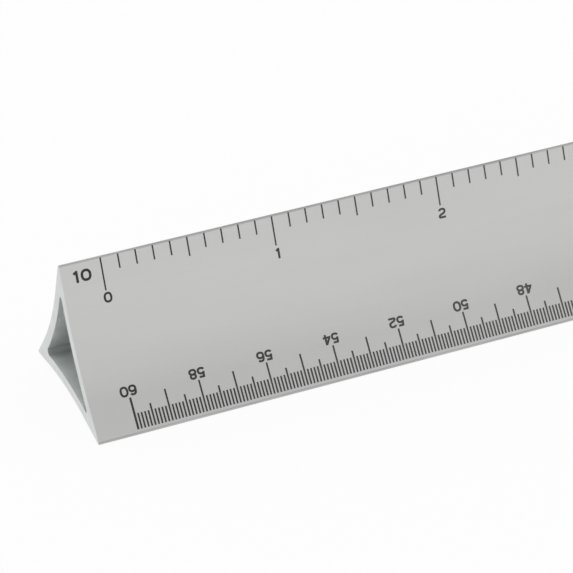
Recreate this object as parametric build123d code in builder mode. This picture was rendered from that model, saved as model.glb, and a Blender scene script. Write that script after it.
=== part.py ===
from build123d import *
from math import cos, radians, sin, sqrt, tan
import os

# Triangular engineer scale: one hollow extrusion whose three faces each have two printed scales,
# one beside either edge. X runs along it, and it lies on its base face with the third edge up.
# The origin is at mid length, under the middle of the base face, on the surface that it lies on.

# Length
inch = 25.4
graduated_inches = 12
end_margin = 6.0            # plain metal past the first and the last line

# Section of the extrusion
face_width = 25.2           # across the two rounded edges of a face
edge_radius = 0.2
strip_width = 5.8           # of the flat strip beside each edge, from the corner that its round takes off
strip_angle = 9.0           # fall of that strip towards the middle of its face
wall = 1.6
bore_corner_radius = 0.6

# Printed lines. A scale has a line at each division, a longer one at every fifth and the longest
# at every tenth, which is a unit. The gap is bare metal between the edge's round and the lines.
ink_thickness = 0.03

# Their sizes on the coarsest scale, whose first and last lines are the longest
coarse_line_gap = 0.05
coarse_line_width = 0.21
coarse_division_line = 2.05
coarse_half_unit_line = 2.75
coarse_unit_line = 4.2
coarse_end_line = 4.65

# And on the finer scales, whose first and last lines are the widest
fine_line_gap = 0.5
fine_line_width = 0.24
fine_division_line = 2.2
fine_half_unit_line = 3.1
fine_unit_line = 4.5
fine_end_line_width = 0.3

# Divisions to the inch on the two edges of each face. The first edge of a face is the one
# whose scale reads along +X, and the second is read from the other side of the table.
divisions_per_unit = 10
front_scales = (10, 50)
base_scales = (20, 40)
back_scales = (30, 60)
coarsest_scale = 10

# Rows of lines that a face shows: 1 for units, 2 with half units and 3 with divisions too
front_rows = 3
other_rows = 1

# Directions in which the faces look, counted from +Y towards +Z
front_angle = 150
base_angle = 270
back_angle = 30
corner_turn = 60            # from the middle of a face to either of its corners

# Derived sizes
graduated_length = graduated_inches * inch
overall_length = graduated_length + 2 * end_margin
half_corner = 30 - strip_angle
round_reach = (face_width - 2 * edge_radius) / sqrt(3)      # from the axis to the middle of a round
corner_reach = round_reach + edge_radius / sin(radians(half_corner))
round_width = edge_radius / tan(radians(half_corner))       # what the round takes off a strip
axis_height = edge_radius + round_reach / 2                 # the rounds touch the table


def edge_plane(face_angle, side):
    """Plane of the flat strip beside an edge, side 1 for a face's first edge and -1 for its second.
    The origin is at mid length on the sharp corner, x runs the way the scale reads and y points
    out at the edge."""
    corner_angle = radians(face_angle - corner_turn * side)
    normal_angle = radians(face_angle + strip_angle * side)
    corner = (0, corner_reach * cos(corner_angle), axis_height + corner_reach * sin(corner_angle))
    return Plane(origin=corner, x_dir=(side, 0, 0), z_dir=(0, cos(normal_angle), sin(normal_angle)))


def printed_scale(face_angle, side, divisions, rows):
    """The first rows of a scale's lines as thin fields of ink, the long ones over the short ones."""
    row_steps = (divisions_per_unit, divisions_per_unit / 2, 1)
    if divisions == coarsest_scale:
        gap, width = coarse_line_gap, coarse_line_width
        row_lengths = (coarse_unit_line, coarse_half_unit_line, coarse_division_line)
        end_width, end_length = coarse_line_width, coarse_end_line
    else:
        gap, width = fine_line_gap, fine_line_width
        row_lengths = (fine_unit_line, fine_half_unit_line, fine_division_line)
        end_width, end_length = fine_end_line_width, fine_unit_line
    on_line = (Align.CENTER, Align.MAX)
    with BuildPart() as scale_lines:
        with BuildSketch(edge_plane(face_angle, side)):
            with Locations((0, -round_width - gap)):
                for step, length in list(zip(row_steps, row_lengths))[:rows]:
                    spacing = step * inch / divisions
                    count = round(graduated_inches * divisions / step) + 1
                    with GridLocations(spacing, 0, count, 1):
                        Rectangle(width, length, align=on_line)
                with GridLocations(graduated_length, 0, 2, 1):
                    Rectangle(end_width, end_length, align=on_line)
        extrude(amount=ink_thickness)
    return scale_lines.part


os.makedirs("parts", exist_ok=True)

# The extrusion: three hollow-ground faces round a three-cornered bore
with BuildPart() as scale_body:
    end_plane = Plane(origin=(-overall_length / 2, 0, axis_height), x_dir=(0, 1, 0), z_dir=(1, 0, 0))
    with BuildSketch(end_plane) as section:
        with BuildLine():
            for face_angle in (front_angle, base_angle, back_angle):
                first_corner = Vector(corner_reach, 0).rotate(Axis.Z, face_angle - corner_turn)
                second_corner = Vector(corner_reach, 0).rotate(Axis.Z, face_angle + corner_turn)
                first_strip = PolarLine(first_corner, strip_width, face_angle + 90 + strip_angle)
                second_strip = PolarLine(second_corner, strip_width, face_angle - 90 - strip_angle)
                TangentArc(first_strip @ 1, second_strip @ 1, tangent=first_strip % 1)
        make_face()
        # The bore runs one wall inside the outline. Going in by its corner radius too, and back
        # out again, rounds its corners.
        bore_core = offset(amount=-wall - bore_corner_radius, mode=Mode.PRIVATE)
        fillet(section.vertices().group_by(SortBy.DISTANCE)[-1], edge_radius)
        offset(bore_core, bore_corner_radius, mode=Mode.SUBTRACT)
    extrude(amount=overall_length)
scale_body.part.label = "scale_body"
export_step(scale_body.part, "parts/scale_body.step")

# The scales: the front face in full, and the others by their units
for face_angle, scales, rows in (
    (front_angle, front_scales, front_rows),
    (base_angle, base_scales, other_rows),
    (back_angle, back_scales, other_rows),
):
    for side, divisions in zip((1, -1), scales):
        name = f"scale_lines_{divisions}"
        printed = printed_scale(face_angle, side, divisions, rows)
        printed.label = name
        export_step(printed, f"parts/{name}.step")
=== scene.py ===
from collections import namedtuple
from functools import cache
from math import atan2, copysign, cos, degrees, pi, radians, sin, sqrt

import bpy
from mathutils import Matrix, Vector
from mathutils.geometry import delaunay_2d_cdt


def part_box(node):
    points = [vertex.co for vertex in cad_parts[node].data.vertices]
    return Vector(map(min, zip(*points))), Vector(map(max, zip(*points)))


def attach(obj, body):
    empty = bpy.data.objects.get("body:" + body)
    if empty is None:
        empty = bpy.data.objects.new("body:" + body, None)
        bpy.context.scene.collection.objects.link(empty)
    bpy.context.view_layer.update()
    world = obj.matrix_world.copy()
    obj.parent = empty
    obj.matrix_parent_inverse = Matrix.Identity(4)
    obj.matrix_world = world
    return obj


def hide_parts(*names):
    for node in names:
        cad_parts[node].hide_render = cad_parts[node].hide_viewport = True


# Triangular engineer scale. X runs along it, it lies on its base face, and Z is up. The
# extrusion is remade here with finely rounded arcs. The numbers of all the scales, and the lines
# between the units of the hidden ones, are added to the lines that the frame holds.
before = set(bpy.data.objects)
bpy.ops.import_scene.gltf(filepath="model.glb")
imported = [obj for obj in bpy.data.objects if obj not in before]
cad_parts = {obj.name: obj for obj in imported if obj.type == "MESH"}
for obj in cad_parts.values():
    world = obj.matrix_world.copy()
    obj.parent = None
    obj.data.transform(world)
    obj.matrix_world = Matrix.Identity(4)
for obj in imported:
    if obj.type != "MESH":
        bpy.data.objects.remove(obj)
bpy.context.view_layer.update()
mm = 0.001

# The length and the width come from the frame. The other sizes of the section are the real ones.
body_low, body_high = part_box("scale_body")
overall_length = body_high.x - body_low.x
face_width = body_high.y - body_low.y
edge_radius = 0.2 * mm
strip_width = 5.8 * mm      # of the flat strip beside each edge
strip_angle = 9.0           # its fall towards the middle of its face, in degrees
wall = 1.6 * mm
bore_corner_radius = 0.6 * mm
burr_width = 0.07 * mm      # small bevel where the saw cut was cleaned
edge_shade_width = 0.14 * mm      # of the metal beside each round that is painted darker with it, as painted shade
bore_step = 0.03 * mm       # beside the bore's rounds, so that it has as many points as the outline
corner_turn = 60.0          # from the middle of a face to either of its corners, in degrees
flat_half_corner = 90 - corner_turn             # half of a corner, if the strips had no fall
half_corner = flat_half_corner - strip_angle
round_reach = (face_width - 2 * edge_radius) / sqrt(3)      # from the axis to the centre of a round
corner_reach = round_reach + edge_radius / sin(radians(half_corner))    # and to a sharp corner
axis_height = edge_radius + round_reach / 2
hollow_half_width = (corner_reach * cos(radians(flat_half_corner))
                     - strip_width * cos(radians(strip_angle)))
hollow_radius = hollow_half_width / sin(radians(strip_angle))
hollow_reach = (corner_reach * sin(radians(flat_half_corner)) - strip_width * sin(radians(strip_angle))
                + hollow_radius * cos(radians(strip_angle)))    # and to the centre of a hollow's arc

# Faces by the direction in which they look, counted from +Y towards +Z, each with the divisions
# to the inch on its two edges. The first reads along +X and the second from the other side.
front_angle = 150.0
base_angle = 270.0
back_angle = 30.0
faces = ((front_angle, (10, 50)), (base_angle, (20, 40)), (back_angle, (30, 60)))
coarsest_scale = 10
divisions_per_unit = 10
inch = 25.4 * mm
graduated_inches = 12
graduated_length = graduated_inches * inch

# Print, and the lines of the finer scales
ink_thickness = 0.03 * mm
ink_depth = 0.02 * mm       # how far added print reaches under the surface that it lies on
line_width = 0.24 * mm
division_line = 2.2 * mm
half_unit_line = 3.1 * mm
line_start = 1.02 * mm      # from the sharp corner to the lines

# Numerals, with the pitch from one digit to the next, and with the width of their strokes and
# the width of a zero as shares of their height. A mark is the number that names a scale.
NumeralStyle = namedtuple("NumeralStyle", "height pitch stroke_share zero_share")
numeral_style = NumeralStyle(height=1.5 * mm, pitch=1.25 * mm, stroke_share=0.2, zero_share=0.82)
mark_style = NumeralStyle(height=1.7 * mm, pitch=1.43 * mm, stroke_share=0.21, zero_share=0.9)
slimness = 0.94             # width of the other digits, as a share of a zero's
fullness = 0.84             # of all round strokes, 1 for true ellipses and 0 for rectangles

# Places of the numerals, whose feet are counted from the sharp corner
coarse_foot = 6.68 * mm
fine_foot = 7.22 * mm
mark_foot = 3.3 * mm
zero_drop = 0.3 * mm        # how much lower the coarsest scale's zero stands
coarse_shift = 0.12 * mm    # how far that scale's numerals stand past their lines
mark_shift = 3.085 * mm     # from the zero line back to the middle of the mark


def polar(reach, angle):
    """Vector in the plane across the scale, by its length and its direction in degrees."""
    return Vector((reach * cos(radians(angle)), reach * sin(radians(angle))))


def surface_point(face_angle, side, x, distance, height):
    """Point over a face: along the scale, from its sharp corner on that side, and off the metal."""
    if distance < strip_width:
        normal_angle = face_angle + side * strip_angle
        corner = polar(corner_reach, face_angle - side * corner_turn)
        place = corner + polar(distance, normal_angle + side * 90) + polar(height, normal_angle)
    else:
        turned = degrees((distance - strip_width) / hollow_radius)
        normal_angle = face_angle + side * (strip_angle - turned)
        place = polar(hollow_reach, face_angle) - polar(hollow_radius - height, normal_angle)
    return Vector((x, place.x, place.y + axis_height))


def reading_point(face_angle, side, along, distance, height):
    """The same by the distance read on the scale, which starts at the other end on side -1."""
    x = side * (along - graduated_length / 2)
    return surface_point(face_angle, side, x, distance, height)


def new_object(name, points, polygons, materials, slot):
    """Mesh object that rides on the body and takes the given materials. The slot is not used."""
    mesh = bpy.data.meshes.new(name)
    mesh.from_pydata(points, [], polygons)
    for material in materials:
        mesh.materials.append(material)
    piece = bpy.data.objects.new(name, mesh)
    bpy.context.scene.collection.objects.link(piece)
    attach(piece, "root")
    return piece


# Nodes. Most of a noise's values lie between the low and the high one given here.
noise_low = 0.3
noise_high = 0.7


def new_node(tree, kind, values=None, **settings):
    """Node of a kind, with its settings and with values for its sockets."""
    node = tree.nodes.new(f"ShaderNode{kind}")
    for setting, value in settings.items():
        setattr(node, setting, value)
    for socket, value in (values or {}).items():
        node.inputs[socket].default_value = value
    return node


def link(tree, source, output, target, socket):
    """Joins an output of one node to a socket of another."""
    tree.links.new(source.outputs[output], target.inputs[socket])


def new_ramp(tree, stops):
    """Node that takes a number to a colour, by stops of a number and its colour."""
    ramp = new_node(tree, "ValToRGB")
    elements = ramp.color_ramp.elements
    while len(elements) < len(stops):
        elements.new(0.5)
    for element, (position, colour) in zip(elements, stops):
        element.position = position
        element.color = (*colour, 1)
    return ramp


def noise(tree, cells, detail=3.0, roughness=0.5):
    """Noise with so many cells to the millimetre along each of the object's axes."""
    place = new_node(tree, "TexCoord")
    mapping = new_node(tree, "Mapping", {"Scale": [number / mm for number in cells]})
    texture = new_node(tree, "TexNoise", {"Scale": 1.0, "Detail": detail, "Roughness": roughness})
    link(tree, place, "Object", mapping, "Vector")
    link(tree, mapping, "Vector", texture, "Vector")
    return texture


def spread(tree, source, low, high, target, socket):
    """Sends a noise's strength to a socket, spread from a low to a high value."""
    spans = {"From Min": noise_low, "From Max": noise_high, "To Min": low, "To Max": high}
    strength = new_node(tree, "MapRange", spans)
    link(tree, source, "Fac", strength, "Value")
    link(tree, strength, "Result", target, socket)


def blend_colours(tree, source, dark, pale, target, socket):
    """Sends a colour between two, by a noise's strength, to a socket."""
    ramp = new_ramp(tree, ((noise_low, dark), (noise_high, pale)))
    link(tree, source, "Fac", ramp, "Fac")
    link(tree, ramp, "Color", target, socket)


def add_bump(tree, shader, layers):
    """Stacks noises as bumps of the given heights, in metres."""
    before = None
    for texture, height in layers:
        bump = new_node(tree, "Bump", {"Strength": 1.0, "Distance": height})
        link(tree, texture, "Fac", bump, "Height")
        if before:
            link(tree, before, "Normal", bump, "Normal")
        before = bump
    link(tree, before, "Normal", shader, "Normal")


# Materials. The sizes of clouds, streaks and grain are cells to the millimetre along each axis.
def new_material(name):
    """Material with nodes as (material, tree, shader)."""
    material = bpy.data.materials.new(name)
    material.use_nodes = True
    return material, material.node_tree, material.node_tree.nodes["Principled BSDF"]


def metal(name, dark, pale, smooth, rough, cloud, streak, grain, streak_height, grain_height):
    """Aluminium whose tone varies in clouds, with streaks along its working and a fine grain."""
    material, tree, shader = new_material(name)
    shader.inputs["Metallic"].default_value = 1.0
    blend_colours(tree, noise(tree, cloud), dark, pale, shader, "Base Color")
    streaks = noise(tree, streak, detail=4.0, roughness=0.6)
    spread(tree, streaks, smooth, rough, shader, "Roughness")
    add_bump(tree, shader, ((streaks, streak_height), (noise(tree, grain, detail=2.0), grain_height)))
    return material


def tarnish(material, tone, roughness, unshaded_reach, shaded_reach):
    """Takes a metal to a darker tone and a higher roughness by its distance from the scale's axis:
    painted shade in the bore's corners.
    """
    tree = material.node_tree
    shader = tree.nodes["Principled BSDF"]
    place = new_node(tree, "TexCoord")
    from_axis = new_node(tree, "VectorMath", {1: (0, 0, axis_height)}, operation="SUBTRACT")
    across = new_node(tree, "VectorMath", {1: (0, 1, 1)}, operation="MULTIPLY")
    reach = new_node(tree, "VectorMath", operation="LENGTH")
    shade_and_roughness = new_node(tree, "MapRange", {"From Min": unshaded_reach, "From Max": shaded_reach})
    link(tree, place, "Object", from_axis, 0)
    link(tree, from_axis, "Vector", across, 0)
    link(tree, across, "Vector", reach, 0)
    link(tree, reach, "Value", shade_and_roughness, "Value")
    for socket, kind, shaded_and_rough in (("Base Color", "RGBA", (*tone, 1)), ("Roughness", "FLOAT", roughness)):
        mix = new_node(tree, "Mix", {"B": shaded_and_rough}, data_type=kind)
        unshaded = shader.inputs[socket].links[0]
        link(tree, unshaded.from_node, unshaded.from_socket.name, mix, "A")
        link(tree, shade_and_roughness, "Result", mix, "Factor")
        link(tree, mix, "Result", shader, socket)


def ink(name, dark, pale, worn, smooth, rough, cloud, grain, grain_height, fresh_from, worn_from):
    """Matt print, a little uneven in its cover. It is worn paler within worn_from of mid length, and
    is fresh again fresh_from away from it."""
    material, tree, shader = new_material(name)
    shader.inputs["Specular IOR Level"].default_value = 0.3
    cover = noise(tree, cloud)
    place = new_node(tree, "TexCoord")
    split = new_node(tree, "SeparateXYZ")
    distance = new_node(tree, "Math", operation="ABSOLUTE")
    wear = new_node(tree, "MapRange", {"From Min": fresh_from, "From Max": worn_from})
    mix = new_node(tree, "Mix", {"B": (*worn, 1)}, data_type="RGBA")
    link(tree, place, "Object", split, "Vector")
    link(tree, split, "X", distance, 0)
    link(tree, distance, "Value", wear, "Value")
    link(tree, wear, "Result", mix, "Factor")
    blend_colours(tree, cover, dark, pale, mix, "A")
    link(tree, mix, "Result", shader, "Base Color")
    spread(tree, cover, smooth, rough, shader, "Roughness")
    add_bump(tree, shader, [(noise(tree, grain), grain_height)])
    return material


face_metal = metal(
    "satin_face", dark=(0.605, 0.61, 0.6), pale=(0.635, 0.64, 0.63), smooth=0.36, rough=0.44,
    cloud=(0.02, 0.08, 0.08), streak=(0.03, 6, 6), grain=(9, 9, 9),
    streak_height=0.0015 * mm, grain_height=0.001 * mm)
# The rounds along the edges and a narrow strip beside each are painted darker, as painted shade.
edge_shade_metal = metal(
    "edge_painted_shade", dark=(0.43, 0.43, 0.43), pale=(0.51, 0.51, 0.51), smooth=0.3, rough=0.45,
    cloud=(0.1, 0.4, 0.4), streak=(0.05, 8, 8), grain=(9, 9, 9),
    streak_height=0.0015 * mm, grain_height=0.001 * mm)
end_metal = metal(
    "sawn_end", dark=(0.62, 0.635, 0.63), pale=(0.69, 0.705, 0.7), smooth=0.3, rough=0.42,
    cloud=(0.5, 0.5, 0.5), streak=(5, 7, 0.15), grain=(9, 9, 9),
    streak_height=0.004 * mm, grain_height=0.002 * mm)
bore_metal = metal(
    "bore_skin", dark=(0.9, 0.925, 0.92), pale=(0.94, 0.965, 0.96), smooth=0.42, rough=0.55,
    cloud=(0.03, 0.3, 0.3), streak=(0.02, 3, 3), grain=(7, 7, 7),
    streak_height=0.003 * mm, grain_height=0.002 * mm)
# The bore's corners are painted darker, as painted shade, and made rougher.
tarnish(bore_metal, tone=(0.56, 0.585, 0.58), roughness=0.82, unshaded_reach=7.4 * mm, shaded_reach=9.1 * mm)
print_ink = ink(
    "print_ink", dark=(0.02, 0.02, 0.022), pale=(0.045, 0.045, 0.047), worn=(0.085, 0.085, 0.087),
    smooth=0.55, rough=0.7, cloud=(2.5, 2.5, 2.5), grain=(9, 9, 9), grain_height=0.002 * mm,
    fresh_from=160 * mm, worn_from=90 * mm)


# The extrusion
def section_loop(inset, corner_radius, outward, beside):
    """Outline of the section, moved in by an inset, as (place, normal, is_edge) points. is_edge says
    that the stretch after a point is a round, or the metal that lies beside one up to the distance
    beside. outward is 1 where the normals look away from the axis, and -1 where they look at it."""
    round_steps = 12
    hollow_steps = 40
    sweep = 90 - half_corner        # from the middle of a round to either of its ends
    loop = []
    for face_angle, _ in faces:
        corner_angle = face_angle - corner_turn
        centre = polar(corner_reach - (inset + corner_radius) / sin(radians(half_corner)), corner_angle)
        angle = corner_angle - sweep
        place = centre + polar(corner_radius, angle) + polar(beside, angle - 90)
        loop.append((place, polar(outward, angle), True))
        for step in range(round_steps + 1):
            angle = corner_angle + sweep * (2 * step / round_steps - 1)
            loop.append((centre + polar(corner_radius, angle), polar(outward, angle), True))
        place = centre + polar(corner_radius, angle) + polar(beside, angle + 90)
        loop.append((place, polar(outward, angle), False))
        for step in range(hollow_steps + 1):
            angle = face_angle + strip_angle * (1 - 2 * step / hollow_steps)
            place = polar(hollow_reach, face_angle) - polar(hollow_radius + inset, angle)
            loop.append((place, polar(outward, angle), False))
    return loop


def build_body():
    """The extrusion with its bore and its two sawn ends, closed and with exact normals."""
    metals = (face_metal, edge_shade_metal, end_metal, bore_metal)
    face_slot, edge_slot, end_slot, bore_slot = range(len(metals))
    plain_stations = 25
    plain_length = overall_length - 2 * burr_width
    plain_places = [plain_length * (k / (plain_stations - 1) - 0.5) for k in range(plain_stations)]
    sections = []
    for x in (-overall_length / 2, *plain_places, overall_length / 2):
        burr = burr_width if abs(x) == overall_length / 2 else 0
        outline = section_loop(burr, edge_radius - burr, 1, edge_shade_width)
        bore = section_loop(wall - burr, bore_corner_radius + burr, -1, bore_step)
        sections.append((x, outline, bore))
    count = len(outline)
    last = len(sections) - 1
    points, polygons, slots, normals = [], [], [], []

    # Each section gives the outline's points and then as many of the bore
    for x, outline, bore in sections:
        points += [(x, place.x, place.y + axis_height) for place, _, _ in outline + bore]

    def add(corners, slot, corner_normals):
        polygons.append(corners)
        slots.append(slot)
        normals.extend(corner_normals)

    for station, (_, outline, bore) in enumerate(sections[:last]):
        lean = {0: -1, last - 1: 1}.get(station, 0)     # of the bevels' normals, towards their end
        for k in range(count):
            after = (k + 1) % count
            for start, loop, order in ((0, outline, 1), (count, bore, -1)):
                _, normal, is_edge = loop[k]
                normal_after = loop[after][1]
                if lean:
                    slot = end_slot
                elif start:
                    slot = bore_slot
                else:
                    slot = edge_slot if is_edge else face_slot
                near = station * 2 * count + start
                far = near + 2 * count
                corners = [near + k, near + after, far + after, far + k]
                corner_normals = [Vector((lean, n.x, n.y)).normalized()
                                  for n in (normal, normal_after, normal_after, normal)]
                add(corners[::order], slot, corner_normals[::order])
    for station, direction in ((0, -1), (last, 1)):
        near = station * 2 * count
        for k in range(count):
            after = (k + 1) % count
            corners = [near + k, near + after, near + count + after, near + count + k]
            add(corners[::direction], end_slot, [Vector((direction, 0, 0))] * 4)
    piece = new_object("extrusion", points, polygons, metals, "anodised_aluminium")
    piece.data.polygons.foreach_set("material_index", slots)
    piece.data.polygons.foreach_set("use_smooth", [True] * len(polygons))
    piece.data.normals_split_custom_set(normals)
    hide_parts("scale_body")


# Digits, drawn as strokes on a square from -1 to 1 that is stretched to a numeral's size. Ends
# that run out of the square are cut off there.
def fuller(ratio):
    """A sine or cosine, drawn out so that an ellipse is a little squarer at its shoulders."""
    return copysign(abs(ratio) ** fullness, ratio)


def arc(centre, width, height, start, end):
    """Points of an elliptical arc, by half its width, half its height and its angles in degrees."""
    step_angle = 12
    least_steps = 4
    steps = max(least_steps, round(abs(end - start) / step_angle))
    angles = [radians(start + (end - start) * k / steps) for k in range(steps + 1)]
    return [(centre[0] + width * fuller(cos(a)), centre[1] + height * fuller(sin(a))) for a in angles]


def curve(*handles):
    """Points of a cubic curve between the first and the last of four handles."""
    steps = 8
    points = []
    for k in range(steps + 1):
        t = k / steps
        weights = ((1 - t) ** 3, 3 * t * (1 - t) ** 2, 3 * t * t * (1 - t), t ** 3)
        points.append(tuple(sum(w * h[axis] for w, h in zip(weights, handles)) for axis in (0, 1)))
    return points


def ring(centre, width, height):
    """Points of a whole ellipse, marked as a closed stroke."""
    return arc(centre, width, height, 0, 360)[:-1] + ["closed"]


def half_turned(stroke):
    """A stroke after half a turn, which makes a nine of a six."""
    return [point if point == "closed" else (-point[0], -point[1]) for point in stroke]


six = [ring((0, -0.38), 1, 0.62),
       arc((0, 0.1), 1, 0.9, 42, 180) + [(-1, -0.38)]]
digit_strokes = {
    "0": [ring((0, 0), 1, 1)],
    "1": [[(-0.6, 0.6), (0.2, 1.05), (0.2, -1.4)]],
    "2": [arc((0, 0.4), 0.97, 0.6, 168, 0)
          + curve((0.97, 0.4), (0.97, -0.2), (-0.6, -0.15), (-0.95, -0.62))[1:]
          + curve((-0.95, -0.62), (-1.05, -0.8), (-1, -1), (-0.75, -1))[1:] + [(1.2, -1)]],
    "3": [arc((-0.03, 0.51), 0.87, 0.49, 160, -90) + [(-0.45, 0.02)],
          arc((-0.03, -0.49), 1, 0.51, 90, -160)],
    "4": [[(0.42, -1.4), (0.42, 1.4)], [(1.4, -0.5), (-1.05, -0.5), (0.42, 1.2)]],
    "5": [[(0.92, 1), (-0.62, 1), (-0.8, -0.2)], arc((0, -0.38), 1, 0.62, 152, -158)],
    "6": six,
    "7": [[(-1.4, 1), (0.93, 1)] + curve((0.93, 1), (0.4, 0.3), (-0.1, -0.3), (-0.3, -1.4))[1:]],
    "8": [ring((0, 0.52), 0.84, 0.48), ring((0, -0.48), 1, 0.52)],
    "9": [half_turned(stroke) for stroke in six],
}


def ribbon(points, closed, width):
    """Four-cornered fields along a line of points, each as wide as the stroke, with mitred turns."""
    count = len(points)
    spans = count if closed else count - 1
    across = []
    for k in range(spans):
        run = points[(k + 1) % count] - points[k]
        across.append(Vector((-run.y, run.x)).normalized())
    sides = []
    for k in range(count):
        before = across[(k - 1) % spans] if closed or k else across[0]
        after = across[k % spans] if closed or k < spans else across[-1]
        mitre = (before + after) / (1 + before.dot(after)) * width / 2
        sides.append((points[k] - mitre, points[k] + mitre))
    for k in range(spans):
        field = [*sides[k], *sides[(k + 1) % count]]
        middle = sum(field, Vector((0, 0))) / 4
        yield sorted(field, key=lambda point: atan2(point.y - middle.y, point.x - middle.x))


def clipped(field, axis, limit, sign):
    """The part of a field where its coordinate on an axis lies inside the limit."""
    room = [sign * (limit - point[axis]) for point in field]
    kept = []
    for k, point in enumerate(field):
        after = (k + 1) % len(field)
        if room[k] >= 0:
            kept.append(point)
        if room[k] * room[after] < 0:
            kept.append(point.lerp(field[after], room[k] / (room[k] - room[after])))
    return kept


def digit_fields(digit, style):
    """Overlapping fields along the strokes of a digit one unit high, cut off at its width and height."""
    half_width = style.zero_share / 2 * (1 if digit == "0" else slimness)
    weight = style.stroke_share
    fields = []
    for stroke in digit_strokes[digit]:
        closed = stroke[-1] == "closed"
        line = [Vector((x * (half_width - weight / 2), 0.5 + y * (1 - weight) / 2))
                for x, y in (stroke[:-1] if closed else stroke)]
        for field in ribbon(line, closed, weight):
            for axis, limit, sign in ((0, half_width, 1), (0, -half_width, -1), (1, 1, 1), (1, 0, -1)):
                field = clipped(field, axis, limit, sign)
            if len(field) > 2:
                fields.append(field)
    return fields


@cache
def digit_shape(digit, style):
    """A digit one unit high as (points, triangles, outline edges), with its fields merged into one
    shape. The points are rounded, so that those that coincide are one point."""
    places = 4
    merge_distance = 1e-4
    corners, loops = [], []
    for field in digit_fields(digit, style):
        loops.append(list(range(len(corners), len(corners) + len(field))))
        corners += field
    points, _, triangles, _, _, origins = delaunay_2d_cdt(corners, [], loops, 0, merge_distance)
    points = [(round(point.x, places), round(point.y, places)) for point in points]
    triangles = [[points[k] for k in triangle] for triangle, origin in zip(triangles, origins) if origin]
    triangles = [triangle for triangle in triangles if len(set(triangle)) == 3]
    points = sorted({point for triangle in triangles for point in triangle})
    number = {point: k for k, point in enumerate(points)}
    triangles = [[number[point] for point in triangle] for triangle in triangles]
    edges = {(a, b) for t in triangles for a, b in zip(t, t[1:] + t[:1])}
    outline = sorted(edge for edge in edges if edge[::-1] not in edges)
    return [Vector(point) for point in points], triangles, outline


def printed_number(number, style, face_angle, side, middle, foot):
    """Closed mesh of a number on a scale as (points, polygons), by where its middle and foot lie."""
    points, polygons = [], []
    text = str(number)
    for position, digit in enumerate(text):
        shape, triangles, outline = digit_shape(digit, style)
        shift = (position - (len(text) - 1) / 2) * style.pitch
        start = len(points)
        for height in (ink_thickness, -ink_depth):
            for point in shape:
                along = middle + (shift + point.x * style.height)
                distance = foot - point.y * style.height
                points.append(reading_point(face_angle, side, along, distance, height))
        under = start + len(shape)
        for t in triangles:
            polygons.append([start + k for k in t])
            polygons.append([under + k for k in reversed(t)])
        polygons += [[start + b, start + a, under + a, under + b] for a, b in outline]
    return points, polygons


def join(parts):
    """One list of points and one of polygons from several."""
    points, polygons = [], []
    for part_points, part_polygons in parts:
        start = len(points)
        points += part_points
        polygons += [[start + k for k in polygon] for polygon in part_polygons]
    return points, polygons


def build_numbers(face_angle, side, divisions):
    """The numbers of one scale, and its mark beside the zero line. The coarsest scale has a number
    at each unit, and the finer ones at every second unit."""
    unit = divisions_per_unit * inch / divisions
    if divisions == coarsest_scale:
        count_by, shift, foot, zero_foot = 1, coarse_shift, coarse_foot, coarse_foot + zero_drop
    else:
        count_by, shift, foot, zero_foot = 2, 0, fine_foot, fine_foot
    parts = []
    for number in range(0, round(graduated_length / unit) + 1, count_by):
        middle = number * unit + shift
        parts.append(printed_number(number, numeral_style, face_angle, side, middle,
                                    foot if number else zero_foot))
    parts.append(printed_number(divisions, mark_style, face_angle, side, -mark_shift, mark_foot))
    new_object(f"numbers_{divisions}", *join(parts), (print_ink,), "ink")


def build_short_lines(face_angle, side, divisions):
    """The lines of one scale between its units."""
    parts = []
    for k in range(graduated_inches * divisions):
        if k % divisions_per_unit == 0:
            continue
        length = half_unit_line if k % (divisions_per_unit // 2) == 0 else division_line
        left = k * inch / divisions - line_width / 2
        right = left + line_width
        end = line_start + length
        corners = [(left, end), (right, end), (right, line_start), (left, line_start)]
        points = [reading_point(face_angle, side, along, distance, height)
                  for height in (-ink_depth, ink_thickness) for along, distance in corners]
        walls = [[n, (n + 1) % 4, (n + 1) % 4 + 4, n + 4] for n in range(4)]
        parts.append((points, [[3, 2, 1, 0], [4, 5, 6, 7]] + walls))
    new_object(f"short_lines_{divisions}", *join(parts), (print_ink,), "ink")


build_body()
for face_angle, scales in faces:
    for side, divisions in zip((1, -1), scales):
        build_numbers(face_angle, side, divisions)
        if face_angle != front_angle:
            build_short_lines(face_angle, side, divisions)
        frame_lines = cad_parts[f"scale_lines_{divisions}"]
        frame_lines.data.materials.clear()
        frame_lines.data.materials.append(print_ink)


# Floor, surroundings, lamp and camera
def floor_white(tone, white_share):
    """White paint that takes a soft shadow. To the camera and in gloss most of it glows white."""
    material, tree, _ = new_material("floor_white")
    tree.nodes.clear()
    output = new_node(tree, "OutputMaterial")
    paint = new_node(tree, "BsdfDiffuse", {"Color": (tone, tone, tone, 1)})
    glow = new_node(tree, "Emission", {"Strength": 1.0})
    path = new_node(tree, "LightPath")
    seen = new_node(tree, "Math", operation="MAXIMUM")
    share = new_node(tree, "Math", {1: white_share}, operation="MULTIPLY")
    mix = new_node(tree, "MixShader")
    link(tree, path, "Is Camera Ray", seen, 0)
    link(tree, path, "Is Glossy Ray", seen, 1)
    link(tree, seen, "Value", share, 0)
    link(tree, share, "Value", mix, "Fac")
    link(tree, paint, "BSDF", mix, 1)
    link(tree, glow, "Emission", mix, 2)
    link(tree, mix, "Shader", output, "Surface")
    return material


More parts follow.
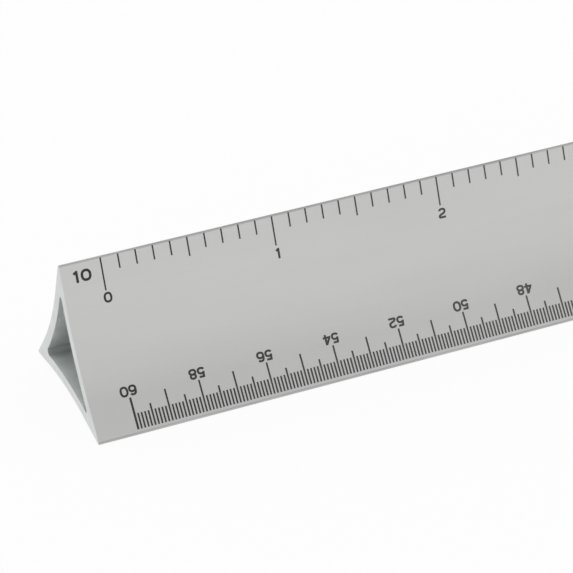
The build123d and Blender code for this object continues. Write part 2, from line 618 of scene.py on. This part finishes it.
def build_floor():
    """Square floor that reaches so many metres out from the scale."""
    reach = 2.0
    mesh = bpy.data.meshes.new("floor")
    mesh.from_pydata([(-reach, -reach, 0), (reach, -reach, 0), (reach, reach, 0), (-reach, reach, 0)],
                     [], [[0, 1, 2, 3]])
    mesh.materials.append(floor_white(tone=0.95, white_share=0.92))
    floor = bpy.data.objects.new("floor", mesh)
    bpy.context.scene.collection.objects.link(floor)


def build_world():
    """Pale surroundings, brighter near the horizon than overhead and white where the camera sees them."""
    heights = (0, 0.35, 0.6, 0.75)              # 0 at the horizon and 1 overhead
    brightness = (1.0, 0.98, 0.86, 0.56)
    world = bpy.data.worlds.new("surroundings")
    bpy.context.scene.world = world
    world.use_nodes = True
    tree = world.node_tree
    place = new_node(tree, "TexCoord")
    split = new_node(tree, "SeparateXYZ")
    ramp = new_ramp(tree, [(height, (level, level, level)) for height, level in zip(heights, brightness)])
    path = new_node(tree, "LightPath")
    mix = new_node(tree, "Mix", {"B": (1, 1, 1, 1)}, data_type="RGBA")
    link(tree, place, "Generated", split, "Vector")
    link(tree, split, "Z", ramp, "Fac")
    link(tree, path, "Is Camera Ray", mix, "Factor")
    link(tree, ramp, "Color", mix, "A")
    link(tree, mix, "Result", tree.nodes["Background"], "Color")


def add_lamp(name, place, size, strength):
    """Square soft lamp that looks at the scale. Strength is how bright it is seen, 1 being white."""
    lamp = bpy.data.lights.new(name, "AREA")
    lamp.size = size
    lamp.energy = strength * pi * size * size
    holder = bpy.data.objects.new(name, lamp)
    holder.location = place
    holder.rotation_euler = (-Vector(place)).to_track_quat("-Z", "Y").to_euler()
    bpy.context.scene.collection.objects.link(holder)


def add_camera(place, turn, lens, sensor_width):
    """Camera at the photograph's place, turned to its line of sight by degrees about X, Y and Z."""
    camera = bpy.data.cameras.new("camera")
    camera.sensor_width = sensor_width
    camera.lens = lens
    holder = bpy.data.objects.new("camera", camera)
    holder.location = place
    holder.rotation_euler = [radians(angle) for angle in turn]
    bpy.context.scene.collection.objects.link(holder)
    bpy.context.scene.camera = holder


build_floor()
build_world()
add_lamp("key_lamp", place=(-0.2, 0.55, 1.15), size=1.0, strength=1.1)
add_camera(place=(-255.69 * mm, -317.12 * mm, 230.74 * mm), turn=(57.157, 1.180, -23.177),
           lens=180.65, sensor_width=36)
bpy.context.scene.view_settings.view_transform = "Standard"
